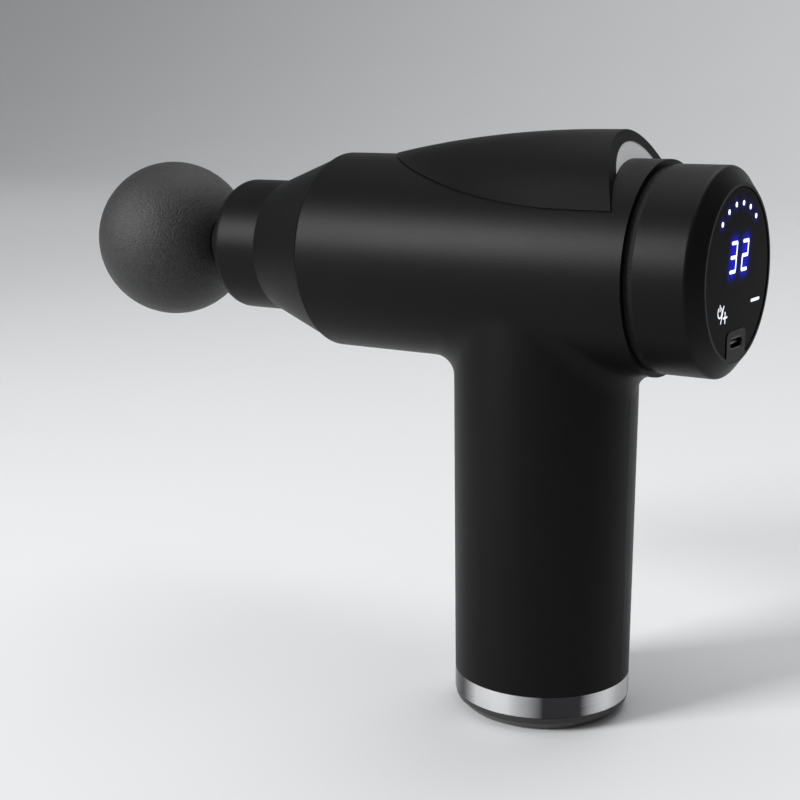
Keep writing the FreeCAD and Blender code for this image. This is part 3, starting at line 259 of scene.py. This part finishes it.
def ringMarksAndPaintedReflections(name):
    # streaks and scratches are noise stretched round the handle; with turned = sectors * (angle -
    # sheenTurn), the painted sheen is 0.5 + sharpness / 2 * (cos(turned) + narrowShare * cos(narrowSectors *
    # turned + narrowTurn)), kept within 0 and 1, and the streaks move its borders; this painted reflection
    # sets the base colour between the dark and the bright sector colours
    paint = Paint(name, Metallic=1.0)
    x, y, z = paint.axes()
    angle = paint.maths("ARCTAN2", y, x)

    def turningMarks(run, pitch, detail, rough):
        place = paint.node("ShaderNodeCombineXYZ", None, {0: angle * run, 1: z * (1 / (pitch * mm))})
        return paint.noise(1.0, detail, rough, place)

    streaks = turningMarks(ring["streakRun"], ring["streakPitch"], 3.0, 0.65)
    scratches = turningMarks(ring["scratchRun"], ring["scratchPitch"], 2.0, 0.7)
    turned = (angle - math.radians(ring["sheenTurn"])) * ring["sectors"]
    drift = streaks - 0.5
    wave = paint.maths("COSINE", turned + drift * ring["stray"])
    narrow = paint.maths("COSINE", turned * ring["narrowSectors"] + ring["narrowTurn"]) * ring["narrowShare"]
    contrast = (wave + narrow) * (0.5 * ring["sharpness"]) + drift * ring["blur"]
    sheen = paint.maths("ADD", contrast, 0.5, clamp=True)
    # painted reflection: the light and dark sectors go into the ring's base colour
    paint.feed("Base Color", paint.between(sheen, ring["dark"], ring["bright"]))
    low, high = ring["rough"]
    paint.feed("Roughness", low + (high - low) * streaks)
    height = streaks * ring["streakShare"] + scratches * ring["scratchShare"]
    paint.bump(height, ring["relief"], ring["depth"] * mm)
    return paint.material


# the lit marks: across is along +Y, up is from the barrel axis, seen from behind the gun; powerBar is in
# power radii, tip is a stroke's least half width, nib half the path of a dot, and lift the gap under every
# mark
marks = {
    "digitAcross": (-3.8, 4.55), "digitUp": 4.75, "digitWidth": 3.9, "digitHeight": 7.6, "slant": 8.0,
    "stroke": 0.95, "uprightStroke": 0.6, "segmentGap": 0.28, "shown": ("abgcd", "abged"),
    "dots": 6, "dotPitch": 16.2, "dotTurn": -1.6, "dotOrbit": 18.9, "dotRadius": 0.7,
    "minusAcross": (10.9, 16.7), "minusUp": -8.4, "minusStroke": 0.85,
    "powerAcross": -12.2, "powerUp": -9.0, "powerRadius": 1.45, "powerGap": 42.0, "iconStroke": 0.42,
    "slashLow": (-11.5, -12.0), "slashHigh": (-9.6, -7.6), "plusAcross": -8.5, "plusUp": -10.8,
    "plusHalf": 1.4, "plusWeight": 1.2, "powerBar": (0.25, 1.3), "powerSteps": 28, "capSteps": 7,
    "tip": 0.004, "nib": 0.01, "lift": 0.01, "thick": 0.05,
}


def segmentLines(letters):
    # ends of each lit bar of a seven-segment digit, about the digit's own centre, before the slant
    half, rise, gap = marks["digitWidth"] / 2, marks["digitHeight"] / 2, marks["segmentGap"]
    bars = {
        "a": ((-half + gap, rise), (half - gap, rise)), "g": ((-half + gap, 0), (half - gap, 0)),
        "d": ((-half + gap, -rise), (half - gap, -rise)), "b": ((half, gap), (half, rise - gap)),
        "c": ((half, -rise + gap), (half, -gap)), "f": ((-half, gap), (-half, rise - gap)),
        "e": ((-half, -rise + gap), (-half, -gap)),
    }
    return [bars[letter] for letter in letters]


def dotPlaces():
    # the dots stand on an arc about the barrel axis, dotPitch degrees apart
    steps = np.arange(marks["dots"]) - (marks["dots"] - 1) / 2
    turns = [math.radians(step * marks["dotPitch"] + marks["dotTurn"]) for step in steps.tolist()]
    return [(marks["dotOrbit"] * math.sin(turn), marks["dotOrbit"] * math.cos(turn)) for turn in turns]


# the black window: scales are per metre, reaches are how far the glow spreads beyond a digit's box or a dot,
# wipeTurn is in radians, and roughRise and mottleRise are what the noise adds at most
window = {"colour": (0.0012, 0.0012, 0.0016), "ior": 1.06, "rough": 0.045, "roughRise": 0.07,
          "smearScale": 90.0, "wipeScale": 260.0, "wipeTurn": 0.5, "wipeStretch": 7.0,
          "glow": (0.002, 0.004, 0.8), "glowShare": 0.62, "digitHalf": 1.1, "digitReach": 1.7,
          "dotReach": 1.5, "dotShare": 0.3, "mottleScale": 900.0, "mottle": 0.6, "mottleRise": 0.8,
          "relief": 0.02, "depth": 0.02}


def windowFinish(name):
    # black gloss with faint wiping marks; each lit mark spreads a glow of exp(-distance^2 / reach^2), and
    # noise mottles their sum
    look = window
    paint = Paint(name, Base_Color=look["colour"], IOR=look["ior"], Emission_Strength=1.0)
    smear = paint.noise(look["smearScale"], 4.0, 0.6)
    wiped = {0: paint.place(), 2: (0.0, look["wipeTurn"], 0.0), 3: (1.0, 1.0, look["wipeStretch"])}
    wipes = paint.noise(look["wipeScale"], 2.0, 0.5, paint.node("ShaderNodeMapping", None, wiped))
    paint.feed("Roughness", look["rough"] + paint.maths("SMOOTH_MIN", smear, wipes) * look["roughRise"])
    x, y, z = paint.axes()
    across = y * (1 / mm)
    up = (z - barrelAxis) * (1 / mm)
    lean = math.tan(math.radians(marks["slant"]))
    rise = up - marks["digitUp"]
    above = paint.maths("MAXIMUM", abs(rise) - marks["digitHeight"] / 2, 0.0)
    glow = 0.0
    for centre in marks["digitAcross"]:
        aside = paint.maths("MAXIMUM", abs(across - centre - rise * lean) - look["digitHalf"], 0.0)
        distance = aside * aside + above * above
        glow = paint.maths("EXPONENT", distance * (-1 / look["digitReach"] ** 2)) + glow
    for dotAcross, dotUp in dotPlaces():
        aside = across - dotAcross
        above = up - dotUp
        distance = aside * aside + above * above
        glow = glow + look["dotShare"] * paint.maths("EXPONENT", distance * (-1 / look["dotReach"] ** 2))
    mottle = look["mottle"] + look["mottleRise"] * paint.noise(look["mottleScale"], 2.0, 0.5)
    strength = paint.maths("MULTIPLY", glow * look["glowShare"], mottle, clamp=True)
    paint.feed("Emission Color", paint.between(strength, (0.0, 0.0, 0.0), look["glow"]))
    paint.bump(wipes * 0.5 + smear * 0.5, look["relief"], look["depth"] * mm)
    return paint.material


# the lit plastic of the marks: noise cells, cellScale of them per metre, go from edge to core
litPlastic = {"colour": (0.5, 0.55, 0.65), "cellScale": 1600.0, "rough": 0.3, "roughRise": 0.1,
              "relief": 0.05, "depth": 0.01}
litLooks = {
    "lit_digit": {"core": (0.9, 0.94, 1.0), "edge": (0.55, 0.66, 1.0), "strength": 1.7},
    "printed_mark": {"core": (0.95, 0.96, 1.0), "edge": (0.8, 0.83, 0.9), "strength": 0.9},
}


def litFinish(name, look):
    # one noise moves the light's colour, the roughness and the relief
    paint = Paint(name, Base_Color=litPlastic["colour"], Emission_Strength=look["strength"])
    cells = paint.noise(litPlastic["cellScale"], 2.0, 0.5)
    paint.feed("Emission Color", paint.between(cells, look["edge"], look["core"]))
    paint.feed("Roughness", litPlastic["rough"] + cells * litPlastic["roughRise"])
    paint.bump(cells, litPlastic["relief"], litPlastic["depth"] * mm)
    return paint.material


paints = {slot: mouldedFinish(slot, look) for slot, look in finishes.items()}
# the ring's base colour carries painted reflections: light and dark sectors round it
paints["trim_metal"] = ringMarksAndPaintedReflections("trim_metal")
paints["window_black"] = windowFinish("window_black")
for litName, litLook in litLooks.items():
    paints[litName] = litFinish(litName, litLook)
print("finishes made:", len(paints))


def surfaceMesh(name, grid, closeRows=False, closeColumns=True, poles=True):
    # grid[i, j] is the point at step i of the first parameter and step j of the second; each cell is a
    # quad, the first and last rows close to one point each when they are poles, and a negative volume
    # turns all faces
    rows, columns = grid.shape[:2]
    rowSteps = np.arange(rows if closeRows else rows - 1)
    columnSteps = np.arange(columns if closeColumns else columns - 1)
    i, j = np.meshgrid(rowSteps, columnSteps, indexing="ij")
    nextRow, nextColumn = (i + 1) % rows, (j + 1) % columns
    corners = [i * columns + j, i * columns + nextColumn,
               nextRow * columns + nextColumn, nextRow * columns + j]
    quads = np.stack(corners, -1).reshape(-1, 4)
    points = grid.reshape(-1, 3)
    fans = []
    if poles and not closeRows:
        here = np.arange(columns)
        after = (here + 1) % columns
        last = (rows - 1) * columns
        tips = np.array([grid[0].mean(0), grid[-1].mean(0)])
        count = len(points)
        points = np.concatenate([points, tips])
        fans = [np.stack([np.full(columns, count), after, here], -1),
                np.stack([np.full(columns, count + 1), last + here, last + after], -1)]
    a, b, c, d = (points[quads[:, corner]] for corner in range(4))
    volume = np.sum(a * np.cross(b, c)) + np.sum(a * np.cross(c, d))
    faces = [quads] + fans
    if volume < 0:
        faces = [face[:, ::-1] for face in faces]
    mesh = bpy.data.meshes.new(name)
    mesh.from_pydata(points.tolist(), [], [row for face in faces for row in face.tolist()])
    mesh.shade_smooth()
    return mesh


def addPiece(name, mesh, paint, body, replaced=()):
    # paint is the key of the piece's finish in paints, replaced the CAD nodes it stands for
    piece = bpy.data.objects.new(name, mesh)
    bpy.context.scene.collection.objects.link(piece)
    mesh.materials.append(paints[paint])
    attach(piece, body)
    if replaced:
        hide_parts(*replaced)
    return piece


latticeSize = 64


def valueNoise(points, cell, seed):
    # smooth random heights from 0 to 1: a seeded lattice, cell apart, that repeats after latticeSize
    # cells, read with eased blending, share^2 * (3 - 2 share), between its eight nearest values
    lattice = np.random.default_rng(seed).random((latticeSize, latticeSize, latticeSize))
    scaled = points / cell
    base = np.floor(scaled).astype(int)
    share = scaled - base
    share = share * share * (3 - 2 * share)
    total = 0.0
    for corner in np.ndindex(2, 2, 2):
        offset = np.array(corner)
        weight = np.prod(np.where(offset == 1, share, 1 - share), -1)
        key = (base + offset) % latticeSize
        total = total + weight * lattice[key[..., 0], key[..., 1], key[..., 2]]
    return total


def turnedMesh(name, outline, aboutBarrel, segments, grainDepth=0.0, grain=1.0, grainRows=0, seed=0):
    # closed outline of (along, radius) in mm carried round an axis: (along, radius * cos, radius * sin)
    # about the barrel, (radius * cos, radius * sin, along) about the handle; of the first grainRows rows
    # all but the two outer ones are pulled in by grainDepth times random grain
    angle = np.linspace(0, 2 * math.pi, segments, endpoint=False)
    along = np.repeat(outline[:, :1], segments, 1)
    radius = np.repeat(outline[:, 1:], segments, 1)
    if grainRows:
        rows = slice(1, grainRows - 1)
        skin = np.stack([along, radius * np.cos(angle), radius * np.sin(angle)], -1)[rows]
        radius[rows] -= grainDepth * valueNoise(skin, grain, seed)
    cosine, sine = radius * np.cos(angle), radius * np.sin(angle)
    if aboutBarrel:
        grid = np.stack([along, cosine, sine], -1) * mm
        grid[..., 2] += barrelAxis
    else:
        grid = np.stack([cosine, sine, along], -1) * mm
    return surfaceMesh(name, grid, closeRows=True, poles=False)


# the foam ball: skin is its wall, lip the rolled edge of its bore, pit the depth of the pits, coarse and mid
# their two sizes, and the pits fade out over fadeRows rows before the lip; turns at the poles are in radians
foamBall = {"skin": 3.0, "bore": 9.06, "lip": 0.9, "lipLean": 0.9, "lipSteps": 8, "rows": 215, "columns": 336,
            "innerRows": 26, "frontTurn": 0.002, "hollowTurn": 0.004, "pit": 0.09, "coarse": 1.5, "mid": 0.75,
            "fadeRows": 6, "seeds": (11, 12)}


def makeFoamBall():
    # outer sphere from the front point to the neck, a rolled lip, the bore, and the hollow inside; both
    # spheres are (centre - radius * cos turn, radius * sin turn) and the lip a quarter of an ellipse, carried
    # round the barrel axis; the outer face is pulled in towards the centre by two sizes of random pits
    look = foamBall
    low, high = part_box("ball_head")
    radius = (high.z - low.z) / 2 / mm
    centre = low.x / mm + radius
    neck = look["bore"] + look["lip"]
    outerAngle = np.linspace(look["frontTurn"], math.pi - math.asin(neck / radius), look["rows"])
    outer = np.stack([centre - radius * np.cos(outerAngle), radius * np.sin(outerAngle)], -1)
    lipAngle = np.linspace(0, math.pi / 2, look["lipSteps"])[1:]
    edge = outer[-1]
    lip = np.stack([edge[0] - look["lip"] * (1 - np.cos(lipAngle)) * look["lipLean"],
                    edge[1] - look["lip"] * np.sin(lipAngle)], -1)
    inside = radius - look["skin"]
    mouth = math.pi - math.asin(look["bore"] / inside)
    innerAngle = np.linspace(mouth, look["hollowTurn"], look["innerRows"])
    inner = np.stack([centre - inside * np.cos(innerAngle), inside * np.sin(innerAngle)], -1)
    outline = np.concatenate([outer, lip, inner])
    angle = np.linspace(0, 2 * math.pi, look["columns"], endpoint=False)
    grid = np.stack([np.repeat(outline[:, :1], len(angle), 1), outline[:, 1:] * np.cos(angle),
                     outline[:, 1:] * np.sin(angle)], -1)
    coarseSeed, midSeed = look["seeds"]
    pits = 0.5 * valueNoise(grid, look["coarse"], coarseSeed) + 0.5 * valueNoise(grid, look["mid"], midSeed)
    outside = np.zeros(len(outline))
    outside[:look["rows"]] = np.clip(np.arange(look["rows"])[::-1] / look["fadeRows"], 0, 1)
    shrink = look["pit"] * pits * outside[:, None] / radius
    centrePoint = np.array([centre, 0, 0])
    grid = centrePoint + (grid - centrePoint) * (1 - shrink[..., None])
    grid = grid * mm
    grid[..., 2] += barrelAxis
    mesh = surfaceMesh("foam_ball", grid)
    addPiece("foam_ball", mesh, "foam_black", "head", ["ball_head"])


makeFoamBall()
print("ball made")


def strokeMesh(name, strokes):
    # each stroke is a path of (across, up) with a width: a flat bar with round ends, standing just off the
    # window; its half width falls as a half circle does, sin of the cap's turn, beyond the ends of the path
    points, faces = [], []
    for path, width in strokes:
        path = np.array(path, float)
        steps = np.hypot(*np.diff(path, axis=0).T)
        run = np.concatenate([[0], np.cumsum(steps)])
        capAngle = np.linspace(0, math.pi / 2, marks["capSteps"])[:-1]
        into = (1 - np.cos(capAngle)) * width / 2
        bar = np.linspace(width / 2, run[-1] + width / 2, len(path))
        reach = np.concatenate([into, bar, (run[-1] + width - into)[::-1]])
        half = np.concatenate([np.sin(capAngle), np.ones(len(bar)), np.sin(capAngle)[::-1]]) * width / 2
        half = np.maximum(half, marks["tip"])
        onPath = reach - width / 2
        first = (path[1] - path[0]) / steps[0]
        last = (path[-1] - path[-2]) / steps[-1]
        centre = np.stack([np.interp(onPath, run, path[:, axis]) for axis in range(2)], -1)
        centre += np.minimum(onPath, 0)[:, None] * first
        centre += np.maximum(onPath - run[-1], 0)[:, None] * last
        heading = np.gradient(centre, axis=0)
        heading /= np.hypot(*heading.T)[:, None]
        aside = np.stack([-heading[:, 1], heading[:, 0]], -1) * half[:, None]
        left, right = centre + aside, centre - aside
        sections = np.stack([left, left, right, right], 1)
        heights = np.array([0.0, marks["thick"], marks["thick"], 0.0])
        heights = np.broadcast_to(heights[None, :, None], (*sections.shape[:2], 1))
        grid = np.concatenate([heights, sections], -1)
        count = sum(len(block) for block in points)
        i, j = np.meshgrid(np.arange(len(sections) - 1), np.arange(4), indexing="ij")
        turn = (j + 1) % 4
        quads = np.stack([i * 4 + j, i * 4 + turn, (i + 1) * 4 + turn, (i + 1) * 4 + j], -1).reshape(-1, 4)
        end = (len(sections) - 1) * 4
        caps = np.array([[0, 3, 2, 1], [end, end + 1, end + 2, end + 3]])
        points.append(grid.reshape(-1, 3))
        faces.append(np.concatenate([quads, caps]) + count)
    points = np.concatenate(points) * mm
    points[:, 0] += windowFace + marks["lift"] * mm
    points[:, 2] += barrelAxis
    mesh = bpy.data.meshes.new(name)
    mesh.from_pydata(points.tolist(), [], np.concatenate(faces).tolist())
    return mesh


def makeMarks():
    # the two digits, the arc of dots, and the touch marks: minus, power, a slash and plus
    look = marks
    lean = math.tan(math.radians(look["slant"]))
    digits = []
    for centre, letters in zip(look["digitAcross"], look["shown"]):
        for bar in segmentLines(letters):
            path = [(centre + along + lean * rise, look["digitUp"] + rise) for along, rise in bar]
            upright = bar[0][0] == bar[1][0]
            digits.append((path, look["uprightStroke"] if upright else look["stroke"]))
    nib = look["nib"]
    dots = [([(across - nib, up), (across + nib, up)], 2 * look["dotRadius"]) for across, up in dotPlaces()]
    addPiece("lit_digits", strokeMesh("lit_digits", digits), "lit_digit", "housing")
    addPiece("lit_dots", strokeMesh("lit_dots", dots), "lit_digit", "housing")

    minusEnds = [(across, look["minusUp"]) for across in look["minusAcross"]]
    arcTurns = np.radians(np.linspace(look["powerGap"], 360 - look["powerGap"], look["powerSteps"]))
    arc = [(look["powerAcross"] + look["powerRadius"] * math.sin(turn),
            look["powerUp"] + look["powerRadius"] * math.cos(turn)) for turn in arcTurns]
    bar = [(look["powerAcross"], look["powerUp"] + share * look["powerRadius"]) for share in look["powerBar"]]
    across, up, half = look["plusAcross"], look["plusUp"], look["plusHalf"]
    thin, heavy = look["iconStroke"], look["iconStroke"] * look["plusWeight"]
    icons = [(minusEnds, look["minusStroke"]), (arc, thin), (bar, thin),
             ([look["slashLow"], look["slashHigh"]], thin),
             ([(across - half, up), (across + half, up)], heavy),
             ([(across, up - half), (across, up + half)], heavy)]
    addPiece("touch_marks", strokeMesh("touch_marks", icons), "printed_mark", "housing")


makeMarks()
print("display marks made")


# the grip band behind the barrel: spigot and bore are radii; both spigots have one radius, so the rear one
# stands 0.9 mm into the rear cap's wall, out of sight
gripBand = {"spigot": 27.2, "bore": 26.2, "grain": 0.55, "grainDepth": 0.14, "segments": 720, "rows": 15,
            "seed": 21}


def makeGripBand():
    # band section turned about the barrel axis: the outer face between the casing and the cap, and a spigot
    # under each of them; the outer face is pulled in by fine random grain
    look = gripBand
    low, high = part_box("rear_band")
    front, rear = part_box("housing_left")[1].x / mm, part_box("rear_cap")[0].x / mm
    radius = (high.z - low.z) / 2 / mm
    lowX, highX = low.x / mm, high.x / mm
    face = np.stack([np.linspace(front, rear, look["rows"]), np.full(look["rows"], radius)], -1)
    behind = np.array([[rear, look["spigot"]], [highX, look["spigot"]], [highX, look["bore"]]])
    ahead = np.array([[lowX, look["bore"]], [lowX, look["spigot"]], [front, look["spigot"]]])
    outline = np.concatenate([face, behind, ahead])
    mesh = turnedMesh("grip_band", outline, True, look["segments"], look["grainDepth"], look["grain"],
                      look["rows"], look["seed"])
    addPiece("grip_band", mesh, "rubber_black", "housing", ["rear_band"])


# the foot pad's underside: rings of rounded grooves between a plain hub and a plain rim; pinHole is the
# radius left open along its axis
footPad = {"rings": 7, "hub": 3.0, "rim": 2.4, "treadDepth": 0.35, "rowsPerRing": 8, "edge": 0.3,
           "edgeSteps": 5, "pinHole": 0.02, "segments": 180}


def makeFootPad():
    # section from the top centre out, down a rounded edge, and back in along the tread, where the height is
    # treadDepth * sin(pi * share)^2 of each ring's width, so that its lands stay on the floor
    look = footPad
    low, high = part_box("foot_pad")
    radius, top = (high.x - low.x) / 2 / mm, high.z / mm
    rim = radius - look["rim"]
    share = np.linspace(0, look["rings"], look["rings"] * look["rowsPerRing"] + 1)
    tread = np.stack([look["treadDepth"] * np.sin(math.pi * share) ** 2,
                      rim + (look["hub"] - rim) * share / look["rings"]], -1)
    turn = np.linspace(0, math.pi / 2, look["edgeSteps"])
    corner = look["edge"] * np.stack([1 - np.sin(turn), np.cos(turn) - 1], -1)
    corner[:, 1] += radius
    pin = look["pinHole"]
    outline = np.concatenate([[[top, pin], [top, radius]], corner, tread, [[0.0, pin]]])
    mesh = turnedMesh("foot_tread", outline, False, look["segments"])
    addPiece("foot_tread", mesh, "rubber_black", "housing", ["foot_pad"])


makeGripBand()
makeFootPad()
print("grip band and foot pad made")


# every CAD node takes its slot's finish, or its own where it has one
slotOf = {part["node"]: part["material_slot"] for part in frame["record"]["subparts"]}
ownFinish = {"base_cap": "base_satin", "housing_left": "housing_shell", "housing_right": "housing_shell"}
for node, piece in frame["nodes"].items():
    piece.data.materials.clear()
    piece.data.materials.append(paints[ownFinish.get(node, slotOf[node])])
print("CAD nodes finished:", len(frame["nodes"]))


# places and sizes from here on are in metres, but lens and sensor in mm; world is the strength of the light
# from all round
studio = {
    "world": 0.32, "worldColour": (0.97, 0.985, 1.0, 1.0), "cameraAt": (0.19629, -0.37592, 0.18146),
    "aim": (-0.0514, 0.0, 0.08787), "lens": 65.9, "sensor": 36.0, "clip": 0.01, "roll": -0.28,
}
softboxes = {
    "key": {"at": (-1.05, -1.55, 0.9), "aim": (-0.03, 0.0, 0.11), "size": (0.66, 0.95), "power": 7.6,
            "spread": 64.0},
    "top": {"at": (-0.1, 1.5, 2.7), "aim": (-0.3, 1.5, 0.0), "size": (4.6, 2.2), "power": 66.0,
            "spread": 180.0},
}
# width is to each side, near and far are where it ends along y, and tintRise is how much paler its tint gets
backdrop = {"width": 14.0, "near": -14.0, "far": 3.4, "bend": 1.4, "bendSteps": 24, "wall": 7.0,
            "colour": (0.64, 0.645, 0.65), "tintRise": 1.03, "tintScale": 6.0, "rough": 0.75}


def aimAt(thing, aim):
    thing.rotation_euler = (Vector(aim) - thing.location).to_track_quat("-Z", "Y").to_euler()


def makeFloor():
    # a floor that curves up into a wall behind the gun: straight, quarter circle, straight
    look = backdrop
    bend = look["bend"]
    turn = np.linspace(0, math.pi / 2, look["bendSteps"])
    y = np.concatenate([[look["near"]], look["far"] - bend + bend * np.sin(turn), [look["far"]]])
    z = np.concatenate([[0.0], bend - bend * np.cos(turn), [look["wall"]]])
    x = np.array([-look["width"], look["width"]])
    grid = np.stack([np.tile(x, (len(y), 1)), np.tile(y[:, None], 2), np.tile(z[:, None], 2)], -1)
    mesh = surfaceMesh("floor", grid, closeColumns=False, poles=False)
    floor = bpy.data.objects.new("floor", mesh)
    bpy.context.scene.collection.objects.link(floor)
    paint = Paint("floor", Roughness=look["rough"])
    tint = paint.noise(look["tintScale"], 2.0, 0.5)
    paler = tuple(look["tintRise"] * value for value in look["colour"])
    paint.feed("Base Color", paint.between(tint, look["colour"], paler))
    mesh.materials.append(paint.material)


def makeLights():
    world = bpy.data.worlds.new("studio")
    world.use_nodes = True
    sky = world.node_tree.nodes["Background"]
    sky.inputs["Color"].default_value = studio["worldColour"]
    sky.inputs["Strength"].default_value = studio["world"]
    bpy.context.scene.world = world
    for name, box in softboxes.items():
        light = bpy.data.lights.new(name, "AREA")
        light.shape = "RECTANGLE"
        light.size, light.size_y = box["size"]
        light.energy = box["power"]
        light.spread = math.radians(box["spread"])
        lamp = bpy.data.objects.new(name, light)
        bpy.context.scene.collection.objects.link(lamp)
        lamp.location = box["at"]
        aimAt(lamp, box["aim"])


def makeCamera():
    data = bpy.data.cameras.new("camera")
    data.lens = studio["lens"]
    data.sensor_width = studio["sensor"]
    data.clip_start = studio["clip"]
    camera = bpy.data.objects.new("camera", data)
    bpy.context.scene.collection.objects.link(camera)
    camera.location = studio["cameraAt"]
    look = (Vector(studio["aim"]) - camera.location).to_track_quat("-Z", "Y")
    camera.rotation_euler = look.to_euler()
    camera.rotation_euler.rotate_axis("Z", math.radians(studio["roll"]))
    bpy.context.scene.camera = camera


makeFloor()
makeLights()
makeCamera()
bpy.context.scene.view_settings.view_transform = "Standard"
print("studio made")
